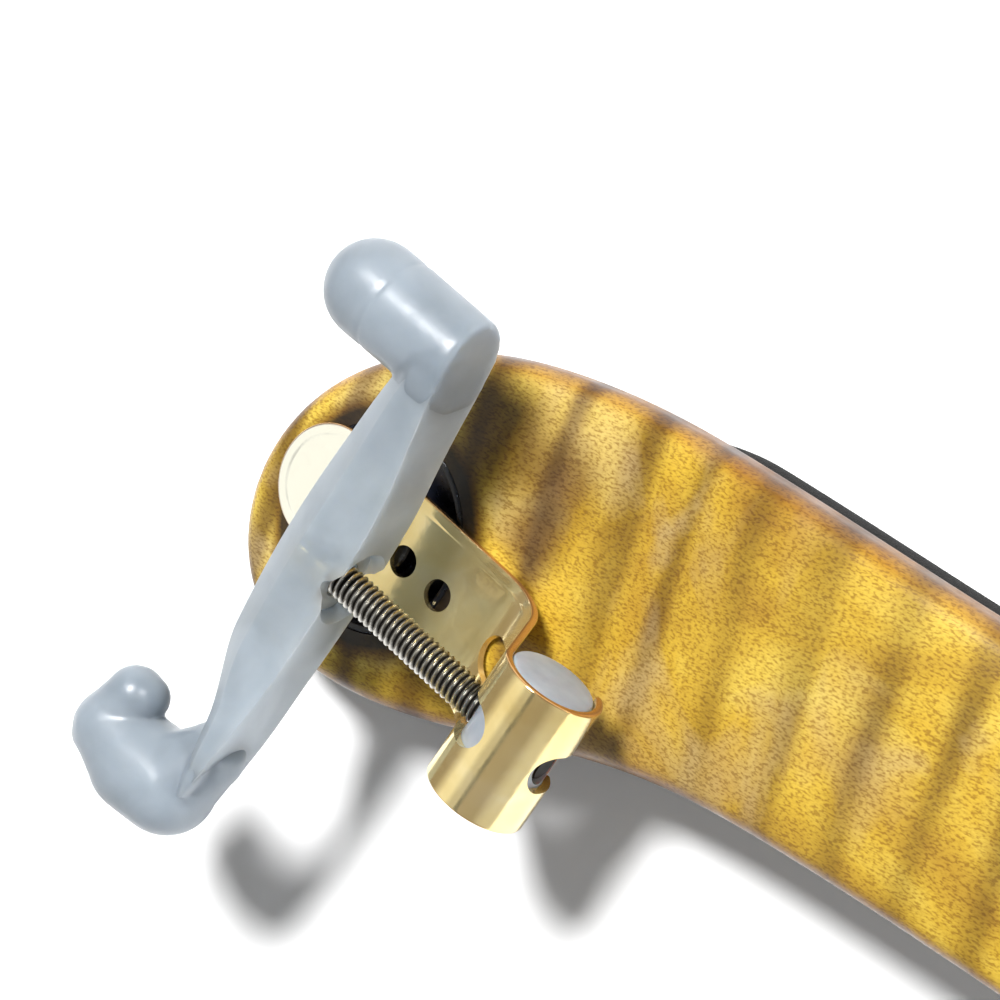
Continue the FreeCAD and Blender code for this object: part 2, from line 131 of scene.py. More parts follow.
def soften(piece, width, segments, angle):
    """Rounds the piece's edges that are sharper than the angle, by a width in millimetres."""
    bevel = piece.modifiers.new("soften", "BEVEL")
    bevel.width = width * MM
    bevel.segments = segments
    bevel.limit_method = "ANGLE"
    bevel.angle_limit = math.radians(angle)
    apply_modifiers(piece)


def finish(piece, body, material, nodes, smooth_angle=35):
    """Gives a piece its material and body, shades it smooth, and hides the CAD nodes it stands for."""
    piece.data.materials.clear()
    piece.data.materials.append(material)
    shade(piece, smooth_angle)
    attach(piece, body)
    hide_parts(*nodes)
    return piece


def ring_mesh(rings, closed=False, caps=True):
    """A bmesh skin over rings that have the same number of points."""
    skin = bmesh.new()
    loops = [[skin.verts.new(point) for point in ring] for ring in rings]
    count = len(loops[0])
    pairs = list(zip(loops, loops[1:])) + ([(loops[-1], loops[0])] if closed else [])
    for low, high in pairs:
        for i in range(count):
            following = (i + 1) % count
            skin.faces.new((low[i], low[following], high[following], high[i]))
    if caps and not closed:
        skin.faces.new(loops[0])
        skin.faces.new(loops[-1])
    return skin


def lathe(name, profile, place, segments=96, closed=False):
    """Turns (radius, height) points about the local Z axis. Points of no radius close the ends."""
    rings = []
    for radius, height in profile:
        turns = [2 * math.pi * i / segments for i in range(segments)]
        rings.append([(radius * math.cos(a), radius * math.sin(a), height) for a in turns])
    skin = ring_mesh(rings, closed=closed, caps=False)
    bmesh.ops.remove_doubles(skin, verts=skin.verts, dist=1e-4)
    bmesh.ops.dissolve_degenerate(skin, edges=skin.edges, dist=1e-5)
    return put(name, skin, place)


def arc(centre, radius, start, stop, steps):
    """Points of a circular arc in a profile's plane, in degrees."""
    angles = [math.radians(start + (stop - start) * i / steps) for i in range(steps + 1)]
    return [(centre[0] + radius * math.cos(a), centre[1] + radius * math.sin(a)) for a in angles]


def disc_tool(radius, low, high, place, segments=96):
    """A round cutter along the local Z axis."""
    return lathe("tool", [(0, low), (radius, low), (radius, high), (0, high)], place, segments)


def box_tool(low, high, place):
    """A box cutter between two corners."""
    block = bmesh.new()
    bmesh.ops.create_cube(block, size=1.0)
    middle = [(a + b) / 2 for a, b in zip(low, high)]
    extent = [b - a for a, b in zip(low, high)]
    for vert in block.verts:
        vert.co = Vector([m + c * e for m, c, e in zip(middle, vert.co, extent)])
    return put("tool", block, place)


def along_y(place):
    """The same frame with its local Z turned onto its Y, for pieces turned about the barrel's axis."""
    return place @ Matrix.Rotation(math.radians(-90), 4, "X")


# ---------------------------------------------------------------- materials

def material_base(name):
    """A new node material with its tree's nodes and links and its shader."""
    material = bpy.data.materials.new(name)
    material.use_nodes = True
    nodes, links = material.node_tree.nodes, material.node_tree.links
    return material, nodes, links, nodes["Principled BSDF"]


def stretched(nodes, links, scale):
    """Object coordinates stretched by three factors."""
    coordinates = nodes.new("ShaderNodeTexCoord")
    mapping = nodes.new("ShaderNodeMapping")
    mapping.inputs["Scale"].default_value = scale
    links.new(coordinates.outputs["Object"], mapping.inputs["Vector"])
    return mapping.outputs["Vector"]


def noise_field(nodes, links, vector, scale, detail=3.0, distortion=0.0, rough=0.5):
    """A noise value over the object. The scale is in cycles per metre."""
    field = nodes.new("ShaderNodeTexNoise")
    field.inputs["Scale"].default_value = scale
    field.inputs["Detail"].default_value = detail
    field.inputs["Distortion"].default_value = distortion
    field.inputs["Roughness"].default_value = rough
    links.new(vector, field.inputs["Vector"])
    return field.outputs["Fac"]


def ramp(nodes, links, value, stops):
    """A colour ramp through (position, colour) stops."""
    node = nodes.new("ShaderNodeValToRGB")
    elements = node.color_ramp.elements
    while len(elements) < len(stops):
        elements.new(0.5)
    for element, (position, colour) in zip(elements, stops):
        element.position = position
        element.color = (*colour, 1)
    links.new(value, node.inputs["Fac"])
    return node.outputs["Color"]


def grey(level):
    return (level, level, level)


def attribute(nodes, name):
    """The value of a mesh attribute that the piece's builder has written."""
    node = nodes.new("ShaderNodeAttribute")
    node.attribute_name = name
    return node.outputs["Fac"]


def mixed(nodes, links, kind, factor, first, second):
    """Mixes two colours. Each may be a socket or a colour, and the factor a socket or a number."""
    node = nodes.new("ShaderNodeMix")
    node.data_type = "RGBA"
    node.blend_type = kind
    for socket, value in ((node.inputs[0], factor), (node.inputs[6], first), (node.inputs[7], second)):
        if isinstance(value, bpy.types.NodeSocket):
            links.new(value, socket)
        elif isinstance(value, tuple):
            socket.default_value = (*value, 1)
        else:
            socket.default_value = value
    return node.outputs[2]


def bump(nodes, links, height, strength, distance, bsdf):
    """Fine relief on the shader's normal. The distance is in metres."""
    node = nodes.new("ShaderNodeBump")
    node.inputs["Strength"].default_value = strength
    node.inputs["Distance"].default_value = distance
    links.new(height, node.inputs["Height"])
    links.new(node.outputs["Normal"], bsdf.inputs["Normal"])


def maple_material():
    """Flamed maple under satin lacquer: brown cross flames, an olive-gold glow, and fine flecks."""
    material, nodes, links, bsdf = material_base("flamed_maple")
    base = noise_field(nodes, links, stretched(nodes, links, (0.6, 1.0, 1.0)), 38, 4.0, 0.6, 0.6)
    colour = ramp(nodes, links, base, [
        (0.30, (0.26, 0.140, 0.014)), (0.46, (0.41, 0.265, 0.026)), (0.60, (0.52, 0.385, 0.066)),
        (0.76, (0.54, 0.430, 0.190))])
    # Dark and light flames across the bar, stronger in some places than in others.
    bands = nodes.new("ShaderNodeTexWave")
    bands.wave_profile = "SIN"
    bands.bands_direction = "X"
    bands.inputs["Scale"].default_value = 34.0
    bands.inputs["Distortion"].default_value = 5.5
    bands.inputs["Detail"].default_value = 3.0
    bands.inputs["Detail Scale"].default_value = 0.9
    bands.inputs["Detail Roughness"].default_value = 0.6
    links.new(stretched(nodes, links, (1.0, 0.22, 0.3)), bands.inputs["Vector"])
    band_tone = ramp(nodes, links, bands.outputs["Fac"], [
        (0.02, (0.34, 0.28, 0.22)), (0.22, (0.62, 0.56, 0.48)), (0.50, grey(1.0)),
        (0.95, (1.12, 1.10, 0.96))])
    where = noise_field(nodes, links, stretched(nodes, links, (0.9, 0.8, 1.0)), 30, 2.0, 0.4)
    share = ramp(nodes, links, where, [(0.34, grey(0.30)), (0.56, grey(1.0))])
    colour = mixed(nodes, links, "MULTIPLY", share, colour, band_tone)
    # Milky ochre clouds, and the fine flecks of the grain's pores.
    ochre = noise_field(nodes, links, stretched(nodes, links, (1.0, 0.7, 1.0)), 55, 3.0, 1.0)
    ochre_share = ramp(nodes, links, ochre, [(0.50, grey(0.0)), (0.68, grey(0.65))])
    colour = mixed(nodes, links, "MIX", ochre_share, colour, (0.36, 0.275, 0.150))
    flecks = noise_field(nodes, links, stretched(nodes, links, (0.42, 1.0, 1.0)), 4200, 1.5)
    fleck_tone = ramp(nodes, links, flecks, [
        (0.36, (0.42, 0.28, 0.12)), (0.48, (0.92, 0.88, 0.80)), (0.62, grey(1.12))])
    colour = mixed(nodes, links, "MULTIPLY", 0.65, colour, fleck_tone)
    # Painted shade round the swivel cups and a painted shadow of the front claw, multiplied into the wood.
    colour = painted_pivot_shade(nodes, links, colour)
    # Painted shade on the wood's sides, where they turn away from the light above.
    colour = mixed(nodes, links, "MULTIPLY", 1.0, colour, side_shade(nodes, links))
    links.new(colour, bsdf.inputs["Base Color"])
    gloss = noise_field(nodes, links, stretched(nodes, links, (1, 1, 1)), 300)
    links.new(ramp(nodes, links, gloss, [(0.3, grey(0.34)), (0.7, grey(0.50))]), bsdf.inputs["Roughness"])
    bsdf.inputs["Specular IOR Level"].default_value = 0.35
    bsdf.inputs["Coat Weight"].default_value = 0.15
    bsdf.inputs["Coat Roughness"].default_value = 0.18
    bump(nodes, links, flecks, 0.20, 0.00006, bsdf)
    return material


def spot_tone(nodes, links, spot, reach, stops):
    """A tone that depends on the distance from a spot, as a share of its reach in metres."""
    coordinates = nodes.new("ShaderNodeTexCoord")
    away = nodes.new("ShaderNodeVectorMath")
    away.operation = "SUBTRACT"
    away.inputs[1].default_value = spot
    links.new(coordinates.outputs["Object"], away.inputs[0])
    distance = nodes.new("ShaderNodeVectorMath")
    distance.operation = "LENGTH"
    links.new(away.outputs["Vector"], distance.inputs[0])
    share = nodes.new("ShaderNodeMath")
    share.operation = "DIVIDE"
    share.inputs[1].default_value = reach
    links.new(distance.outputs["Value"], share.inputs[0])
    return ramp(nodes, links, share.outputs["Value"], stops)


def painted_pivot_shade(nodes, links, colour):
    """Painted shade darkens the wood round each swivel cup, and dark patches beside it are a painted shadow
    of the front claw. A spot has its place from the pivot in millimetres, its reach in metres, and its
    tones."""
    # Painted shade: a dark ring just outside each cup's recess.
    cup_shade_ring = [(0.455, (0.05, 0.038, 0.025)), (0.48, (0.32, 0.24, 0.15)), (0.53, grey(1.0))]
    # Painted shadow of the front claw on the wood, as soft dark patches.
    claw_shadow = [(0.0, (0.36, 0.27, 0.20)), (0.45, (0.46, 0.38, 0.28)), (1.0, grey(1.0))]
    spots = [((0, 0), 0.030, cup_shade_ring), ((7.9, 19.0), 0.0085, claw_shadow), ((16.9, 19.6), 0.0065, claw_shadow),
             ((18.0, 13.0), 0.0055, claw_shadow)]
    for end in ENDS:
        for (x, y), reach, stops in spots:
            spot = PIVOT[end] @ Vector((x, y, BAR_TOP - 0.8))
            tone = spot_tone(nodes, links, spot, reach, stops)
            colour = mixed(nodes, links, "MULTIPLY", 1.0, colour, tone)
    return colour


def side_shade(nodes, links):
    """Painted shade: the wood is browner where its surface turns away from its upper face."""
    facing = nodes.new("ShaderNodeNewGeometry")
    parts = nodes.new("ShaderNodeSeparateXYZ")
    links.new(facing.outputs["Normal"], parts.inputs["Vector"])
    return ramp(nodes, links, parts.outputs["Z"], [
        (0.15, (0.34, 0.20, 0.09)), (0.70, (0.70, 0.55, 0.40)), (0.97, grey(1.0))])


def foam_material():
    """Black open-cell foam: dull, with a fine pitted surface."""
    material, nodes, links, bsdf = material_base("black_foam")
    cells = noise_field(nodes, links, stretched(nodes, links, (1, 1, 1)), 1800, 4.0, 0.0, 0.7)
    tone = ramp(nodes, links, cells, [(0.35, grey(0.001)), (0.65, grey(0.006))])
    links.new(tone, bsdf.inputs["Base Color"])
    bsdf.inputs["Roughness"].default_value = 0.92
    bsdf.inputs["Sheen Weight"].default_value = 0.02
    bsdf.inputs["Specular IOR Level"].default_value = 0.15
    bump(nodes, links, cells, 0.8, 0.0003, bsdf)
    return material


def backing_material():
    """The stiff black board between the wood and the foam."""
    material, nodes, links, bsdf = material_base("black_board")
    fibres = noise_field(nodes, links, stretched(nodes, links, (0.4, 1, 1)), 900, 3.0)
    tone = ramp(nodes, links, fibres, [(0.3, grey(0.008)), (0.7, grey(0.02))])
    links.new(tone, bsdf.inputs["Base Color"])
    bsdf.inputs["Roughness"].default_value = 0.6
    bump(nodes, links, fibres, 0.3, 0.0001, bsdf)
    return material


def cup_material():
    """Blue-black moulded plastic, nearly black, with a satin gloss."""
    material, nodes, links, bsdf = material_base("blue_black_plastic")
    mottle = noise_field(nodes, links, stretched(nodes, links, (1, 1, 1)), 500, 3.0)
    tone = ramp(nodes, links, mottle, [(0.3, (0.0015, 0.002, 0.004)), (0.7, (0.004, 0.006, 0.013))])
    links.new(tone, bsdf.inputs["Base Color"])
    links.new(ramp(nodes, links, mottle, [(0.3, grey(0.22)), (0.7, grey(0.38))]), bsdf.inputs["Roughness"])
    bump(nodes, links, mottle, 0.15, 0.0001, bsdf)
    return material


def gold_material():
    """Bright champagne-gold plate, coppery along its rims, paled towards its round tip by a painted
    highlight of glare, with faint smudges.
    """
    material, nodes, links, bsdf = material_base("gold_plate")
    field = noise_field(nodes, links, stretched(nodes, links, (1, 1, 1)), 140, 4.0, 0.4)
    face = ramp(nodes, links, field, [
        (0.30, (0.78, 0.60, 0.25)), (0.55, (0.88, 0.72, 0.36)), (0.8, (0.94, 0.81, 0.50))])
    # Painted highlight: the round tip is paled towards white, standing in for the glare of the studio.
    face = mixed(nodes, links, "MIX", attribute(nodes, "tip_glare"), face, (0.95, 0.94, 0.84))
    colour = mixed(nodes, links, "MIX", attribute(nodes, "rim"), face, (0.50, 0.27, 0.10))
    links.new(colour, bsdf.inputs["Base Color"])
    bsdf.inputs["Metallic"].default_value = 0.86
    smudge = noise_field(nodes, links, stretched(nodes, links, (1, 1, 1)), 420, 5.0, 0.8, 0.6)
    sheen = ramp(nodes, links, smudge, [(0.35, grey(0.08)), (0.75, grey(0.24))])
    links.new(sheen, bsdf.inputs["Roughness"])
    bump(nodes, links, field, 0.10, 0.0006, bsdf)
    return material


def steel_material():
    """Bright steel, with painted shade near black in the roots of a thread, which are also rough."""
    material, nodes, links, bsdf = material_base("bright_steel")
    marks = noise_field(nodes, links, stretched(nodes, links, (1, 1, 1)), 1500, 4.0)
    face = ramp(nodes, links, marks, [(0.3, (0.40, 0.385, 0.35)), (0.7, (0.60, 0.59, 0.55))])
    # Painted shade: the thread's roots are darkened to near black.
    root = attribute(nodes, "root")
    colour = mixed(nodes, links, "MIX", root, face, (0.018, 0.016, 0.014))
    links.new(colour, bsdf.inputs["Base Color"])
    sheen = ramp(nodes, links, marks, [(0.3, grey(0.14)), (0.7, grey(0.30))])
    links.new(mixed(nodes, links, "MIX", root, sheen, grey(0.6)), bsdf.inputs["Roughness"])
    bsdf.inputs["Metallic"].default_value = 1.0
    return material


def brass_material():
    """Plain brass of the threaded inserts."""
    material, nodes, links, bsdf = material_base("plain_brass")
    marks = noise_field(nodes, links, stretched(nodes, links, (1, 1, 1)), 900, 3.0)
    links.new(ramp(nodes, links, marks, [(0.3, (0.50, 0.34, 0.12)), (0.7, (0.75, 0.56, 0.25))]),
              bsdf.inputs["Base Color"])
    bsdf.inputs["Roughness"].default_value = 0.3
    bsdf.inputs["Metallic"].default_value = 1.0
    return material


def nylon_material():
    """White nylon, slightly translucent, with a soft gloss."""
    material, nodes, links, bsdf = material_base("white_nylon")
    cloud = noise_field(nodes, links, stretched(nodes, links, (1, 1, 1)), 500, 3.0)
    links.new(ramp(nodes, links, cloud, [(0.3, (0.21, 0.235, 0.265)), (0.7, (0.26, 0.285, 0.32))]),
              bsdf.inputs["Base Color"])
    bsdf.inputs["Roughness"].default_value = 0.34
    bsdf.inputs["Subsurface Weight"].default_value = 0.35
    bsdf.inputs["Subsurface Scale"].default_value = 0.002
    bump(nodes, links, cloud, 0.1, 0.0001, bsdf)
    return material


def milky_material(name, low, high, roughness):
    """Translucent milky plastic or silicone: cloudy, light scattering, with a soft gloss."""
    material, nodes, links, bsdf = material_base(name)
    cloud = noise_field(nodes, links, stretched(nodes, links, (1, 1, 1)), 130, 3.0, 0.5)
    links.new(ramp(nodes, links, cloud, [(0.32, low), (0.70, high)]), bsdf.inputs["Base Color"])
    bsdf.inputs["Roughness"].default_value = roughness
    bsdf.inputs["IOR"].default_value = 1.43
    bsdf.inputs["Transmission Weight"].default_value = 0.42
    bsdf.inputs["Subsurface Weight"].default_value = 0.75
    bsdf.inputs["Subsurface Radius"].default_value = (0.9, 1.0, 1.15)
    bsdf.inputs["Subsurface Scale"].default_value = 0.007
    ripple = noise_field(nodes, links, stretched(nodes, links, (1, 1, 1)), 420, 3.0, 0.3)
    bump(nodes, links, ripple, 0.12, 0.0004, bsdf)
    return material


# The middle of each swivel cup stands a little above the bar's upper face.
CUP_PROUD = 0.2
BAR_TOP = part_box("pivot_cup_chest")[1][2] / MM - CUP_PROUD
MAPLE = maple_material()
FOAM = foam_material()
BACKING = backing_material()
CUP_BLACK = cup_material()
GOLD = gold_material()
STEEL = steel_material()
BRASS = brass_material()
NYLON = nylon_material()
CORE = milky_material("milky_core", (0.30, 0.345, 0.385), (0.39, 0.44, 0.485), 0.36)
BOOT = milky_material("milky_silicone", (0.24, 0.28, 0.32), (0.32, 0.365, 0.41), 0.34)


# ---------------------------------------------------------------- bar, backing and pad

LOBE_FLAT = 66.0
LOBE_BLEND = 22.0
ARCH_ANGLE = math.radians(12)
ARCH_HOLLOW = 90.0
ARCH_CROWN = LOBE_FLAT / math.sin(ARCH_ANGLE) - ARCH_HOLLOW
ARCH_RISE = (ARCH_HOLLOW + ARCH_CROWN) * (1 - math.cos(ARCH_ANGLE))
CUP_RECESS = 12.25
CUP_DEPTH = 3.1
BAR_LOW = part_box("wood_body")[0][2] / MM
BACKING_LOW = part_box("pad_backing")[0][2] / MM
PAD_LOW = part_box("foam_pad")[0][2] / MM


def arch(x):
    """Rise of the bar above its flat lobes: a hollow arc, then a crown arc over the middle."""
    bend = LOBE_FLAT - ARCH_HOLLOW * math.sin(ARCH_ANGLE)
    x = abs(x)
    if x >= LOBE_FLAT:
        return 0.0
    if x > bend:
        return ARCH_HOLLOW - math.sqrt(ARCH_HOLLOW ** 2 - (LOBE_FLAT - x) ** 2)
    return ARCH_RISE - ARCH_CROWN + math.sqrt(ARCH_CROWN ** 2 - x ** 2)


def bar_outline(count):
    """The bar's outline, evenly spaced, with its outward normals. A closed cubic spline goes through points
    along one side, and through the same points turned half round for the other."""
    lobe = [(-104.6, 0.8), (-100.3, 8.9), (-92.5, 15.6), (-80.5, 20.5), (-66.3, 22.2)]
    waist = [(-48.8, 21.7), (-30.7, 19.9), (-12.0, 17.4), (6.0, 15.1), (24.0, 13.7), (40.0, 13.9),
             (54.0, 16.2)]
    far_lobe = [(68.0, 19.4), (80.5, 21.3), (91.5, 20.8), (99.8, 17.2), (104.4, 10.6)]
    edge = lobe + waist + far_lobe
    points = np.array(edge + [(-x, -y) for x, y in edge])
    total = len(points)
    ahead = np.roll(points, -1, axis=0)
    spans = np.linalg.norm(ahead - points, axis=1)
    before = np.roll(spans, 1)
    matrix, right = np.zeros((total, total)), np.zeros((total, 2))
    for i in range(total):
        matrix[i, i - 1] += before[i]
        matrix[i, i] += 2 * (before[i] + spans[i])
        matrix[i, (i + 1) % total] += spans[i]
        right[i] = 6 * ((ahead[i] - points[i]) / spans[i] - (points[i] - points[i - 1]) / before[i])
    curve = np.linalg.solve(matrix, right)
    dense = []
    for i in range(total):
        following = (i + 1) % total
        for t in np.linspace(0, 1, 40, endpoint=False):
            u, span = 1 - t, spans[i]
            bend = (u ** 3 - u) * curve[i] + (t ** 3 - t) * curve[following]
            dense.append(u * points[i] + t * points[following] + span ** 2 / 6 * bend)
    dense = np.array(dense)
    steps = np.linalg.norm(np.roll(dense, -1, axis=0) - dense, axis=1)
    travelled = np.concatenate([[0], np.cumsum(steps)])
    wanted = np.linspace(0, travelled[-1], count, endpoint=False)
    looped = np.vstack([dense, dense[:1]])
    even = np.stack([np.interp(wanted, travelled, looped[:, k]) for k in (0, 1)], axis=1)
    along = np.roll(even, -1, axis=0) - np.roll(even, 1, axis=0)
    normal = np.stack([-along[:, 1], along[:, 0]], axis=1)
    return even, normal / np.linalg.norm(normal, axis=1)[:, None]


OUTLINE, OUTWARD = bar_outline(420)
SPINE_REACH = 82.0


def slab(name, profile, lobe_inset=0.0):
    """A layer of the bar, from the middle of its underside over its rim to the middle of its top. Each
    point of the profile is an inset, a height, and a share of the way to the bar's spine. The lobe inset
    sets the rim in further at the lobes."""
    rings = []
    for inset, height, share in profile:
        ring = []
        for point, outward in zip(OUTLINE, OUTWARD):
            lobe_share = smooth_step((abs(point[0]) - LOBE_FLAT + LOBE_BLEND) / LOBE_BLEND)
            x, y = point - outward * (inset + lobe_inset * lobe_share)
            spine = max(-SPINE_REACH, min(SPINE_REACH, x))
            x, y = x + (spine - x) * share, y * (1 - share)
            ring.append((x, y, arch(x) + height))
        rings.append(ring)
    skin = ring_mesh(rings, caps=False)
    bmesh.ops.remove_doubles(skin, verts=skin.verts, dist=1e-3)
    bmesh.ops.dissolve_degenerate(skin, edges=skin.edges, dist=1e-4)
    return put(name, skin, REST)


def slab_profile(low, high, grow, low_round, high_round, rim_drop=0.0, bulge=0.0):
    """Profile of a layer with rounded rims. It stands out by grow, rim_drop lets the top fall away towards
    the rim, and bulge rounds its side."""
    fall = 9.0
    inner = 11.0

    def top(inset):
        return high - rim_drop * max(0.0, 1 - (inset + grow) / fall) ** 2

    points = [(inner, low, share) for share in (1.0, 0.55, 0.0)]
    points += [(5.0, low, 0.0)]
    low_corner = arc((low_round, low + low_round), low_round, -90, -180, 6)
    points += [(r - grow, z, 0.0) for r, z in low_corner]
    for k in range(1, 5):
        t = k / 5
        height = low + low_round + (top(-grow) - high_round - low - low_round) * t
        points.append((-grow - bulge * math.sin(math.pi * t), height, 0.0))
    for r, z in arc((high_round, -high_round), high_round, 180, 90, 7):
        points.append((r - grow, top(r - grow) + z, 0.0))
    points += [(inset, top(inset), 0.0) for inset in (4.0, 5.5, 7.0, 9.0, inner)]
    points += [(inner, high, share) for share in (0.35, 0.7, 1.0)]
    return points


def build_bar():
    """The maple bar with its two cup recesses, the board under it, and the foam pad."""
    wood = slab_profile(BAR_LOW, BAR_TOP, grow=0.45, low_round=1.2, high_round=2.4, rim_drop=1.1)
    bar = slab("maple_bar", wood)
    for end in ENDS:
        carve(bar, disc_tool(CUP_RECESS, BAR_TOP - CUP_DEPTH, BAR_TOP + 6, PIVOT[end], 128))
    finish(bar, "frame", MAPLE, ["wood_body"], 40)
    sheet = slab_profile(BACKING_LOW, BAR_LOW, grow=-0.4, low_round=0.15, high_round=0.15)
    board = slab("pad_board", sheet, lobe_inset=1.5)
    finish(board, "frame", BACKING, ["pad_backing"], 50)
    cushion = slab_profile(PAD_LOW, BACKING_LOW, grow=-0.5, low_round=3.0, high_round=0.6, bulge=0.2)
    pad = slab("foam_cushion", cushion, lobe_inset=2.6)
    finish(pad, "frame", FOAM, ["foam_pad"], 60)


# ---------------------------------------------------------------- swivel

STRIP_THICK = 0.9
PLATE_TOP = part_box("bracket_chest")[0][2] / MM + STRIP_THICK
CUP_RADIUS = 12.2
CUP_WALL = 0.9
CUP_LIP = 0.25
BOSS_RADIUS = 5.5
SCREW_RADIUS = 1.77
SCREW_HOLE = 1.85
FLANGE_RADIUS = 7.0
FLANGE_THICK = 0.9
SLEEVE_RADIUS = 2.6
SLEEVE_HIGH = 3.3
WASHER_GAP = 0.05
WASHER_THICK = 0.5
DRIVER_SLOT_HALF = 0.45


def build_swivel(end):
    """The cup in the wood, the flanged nut under it, and the washer and slotted screw above the plate."""
    place = PIVOT[end]
    floor, top = BAR_TOP - CUP_DEPTH, BAR_TOP
    wall = CUP_RADIUS - CUP_WALL
    shell = [(0, floor), (CUP_RADIUS, floor)]
    shell += arc((CUP_RADIUS - CUP_LIP, top - CUP_LIP), CUP_LIP, 0, 90, 4)
    shell += arc((wall + CUP_LIP, top - CUP_LIP), CUP_LIP, 90, 180, 4) + [(wall, floor + 1.5)]
    shell += arc((wall - 0.5, floor + 1.5), 0.5, 0, -90, 4)
    shell += [(BOSS_RADIUS + 0.6, floor + 1.0), (BOSS_RADIUS + 0.2, floor + 1.3), (BOSS_RADIUS, top)]
    shell += [(BOSS_RADIUS - 0.2, top + CUP_PROUD), (0, top + CUP_PROUD)]
    cup = lathe(f"swivel_cup_{end}", shell, place, 128)
    carve(cup, disc_tool(SCREW_HOLE, floor - 2, top + 3, place))
    finish(cup, "frame", CUP_BLACK, [f"pivot_cup_{end}"])

    nut_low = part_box(f"tee_nut_{end}")[0][2] / MM
    flange_top, sleeve_top = nut_low + FLANGE_THICK, nut_low + SLEEVE_HIGH
    flange = [(SCREW_RADIUS, nut_low), (FLANGE_RADIUS - 0.2, nut_low), (FLANGE_RADIUS, nut_low + 0.2),
              (FLANGE_RADIUS, flange_top), (SLEEVE_RADIUS, flange_top), (SLEEVE_RADIUS, sleeve_top),
              (SCREW_RADIUS, sleeve_top)]
    nut = lathe(f"flanged_nut_{end}", flange, place, closed=True)
    finish(nut, "frame", STEEL, [f"tee_nut_{end}"])

    low = PLATE_TOP + WASHER_GAP
    seat = low + WASHER_THICK
    ring = [(1.9, low), (4.1, low), (4.2, low + 0.1), (4.2, seat - 0.1), (4.05, seat), (1.95, seat)]
    washer = lathe(f"washer_{end}", ring, place, closed=True)
    finish(washer, "frame", STEEL, [f"spring_washer_{end}"])

    tip = BAR_LOW + 0.4
    head = [(0, tip), (SCREW_RADIUS - 0.17, tip), (SCREW_RADIUS, tip + 0.2), (SCREW_RADIUS, seat)]
    head += [(3.45, seat), (3.6, seat + 0.2)] + arc((2.4, seat + 0.6), 1.2, 0, 90, 8) + [(0, seat + 1.8)]
    screw = lathe(f"pivot_screw_{end}", head, place)
    slot = box_tool((-5, -DRIVER_SLOT_HALF, seat + 0.9), (5, DRIVER_SLOT_HALF, seat + 4), place)
    carve(screw, slot)
    finish(screw, "frame", STEEL, [f"pivot_screw_{end}"])


# ---------------------------------------------------------------- bracket

BARREL_HIGH = 11.3
BARREL_INNER = 5.08
RAMP_ANGLE = 65.0
RAMP_ROUND = 9.0
CURL_ANGLE = 232.0
STRIP_END_AT = 43.0
STRIP_END_HALF = 7.3
STRIP_ROOT_HALF = 8.25
PIVOT_AT = 35.3
HOLE_PITCH = 6.05
HOLE_RADIUS = 1.85
SLOT_HALF = 2.5
RAMP_SLOT_TO = 87
CURL_SLOT_FROM = 150
# Where the painted highlight of glare on the tip begins, and over how many millimetres it fades in.
GLARE_FROM = 17.0
GLARE_OVER = 6.0
RIM_WIDTH = 0.24


def barrel_point(radius, degrees):
    """Round the barrel's axis: 0 degrees faces the pivot, 90 is up."""
    angle = math.radians(degrees)
    return Vector((-radius * math.cos(angle), radius * math.sin(angle)))


class StripPath:
    """The middle line of the bent strip in the bracket's XZ plane: plate, ramp bend, ramp, curl."""

    def __init__(self):
        mid = BARREL_INNER + STRIP_THICK / 2
        lead = 90 - RAMP_ANGLE
        self.up = Vector((math.sin(math.radians(lead)), math.cos(math.radians(lead))))
        plate = -BARREL_HIGH - STRIP_THICK / 2
        junction = barrel_point(mid, lead)
        corner = junction - self.up * ((junction.y - plate) / self.up.y)
        tangent = RAMP_ROUND * math.tan(math.radians(RAMP_ANGLE / 2))
        self.start = Vector((-STRIP_END_AT - STRIP_END_HALF, plate))
        self.centre = Vector((corner.x - tangent, plate + RAMP_ROUND))
        self.flat = self.centre.x - self.start.x
        self.bend = RAMP_ROUND * math.radians(RAMP_ANGLE)
        self.ramp_start = self.on_bend(self.bend)[0]
        self.ramp = (junction - self.ramp_start).length
        self.mid, self.lead = mid, lead
        self.curl = mid * math.radians(CURL_ANGLE - lead)
        self.length = self.flat + self.bend + self.ramp + self.curl

    def on_bend(self, run):
        """Point and inward normal at a run round the bend between plate and ramp."""
        angle = run / RAMP_ROUND
        inward = Vector((-math.sin(angle), math.cos(angle)))
        return self.centre - inward * RAMP_ROUND, inward

    def at(self, run):
        """Point and face normal at a run along the strip. The normal is up on the plate and outwards on the
        curl."""
        if run <= self.flat:
            return self.start + Vector((run, 0)), Vector((0, 1))
        run -= self.flat
        if run <= self.bend:
            return self.on_bend(run)
        run -= self.bend
        if run <= self.ramp:
            return self.ramp_start + self.up * run, self.on_bend(self.bend)[1]
        angle = self.lead + math.degrees((run - self.ramp) / self.mid)
        return barrel_point(self.mid, angle), barrel_point(1.0, angle)

    def run_at_angle(self, degrees):
        """The run at which the curl reaches an angle round the barrel."""
        return self.flat + self.bend + self.ramp + self.mid * math.radians(degrees - self.lead)


STRIP = StripPath()
TAPER_RUN = STRIP_END_AT + STRIP_END_HALF - 2 * BARREL_INNER


def strip_half_width(run):
    """Half width of the flat strip: round end, straight taper, then the barrel's full width."""
    if run < STRIP_END_HALF:
        return math.sqrt(max(0.0, STRIP_END_HALF ** 2 - (STRIP_END_HALF - run) ** 2))
    share = min(1.0, (run - STRIP_END_HALF) / (TAPER_RUN - STRIP_END_HALF))
    return STRIP_END_HALF + (STRIP_ROOT_HALF - STRIP_END_HALF) * share


def rim_distance(run, across):
    """Distance from a point of the flat strip to its rim."""
    if run < STRIP_END_HALF:
        return STRIP_END_HALF - math.hypot(STRIP_END_HALF - run, across)
    return min(strip_half_width(run) - abs(across), STRIP.length - run)


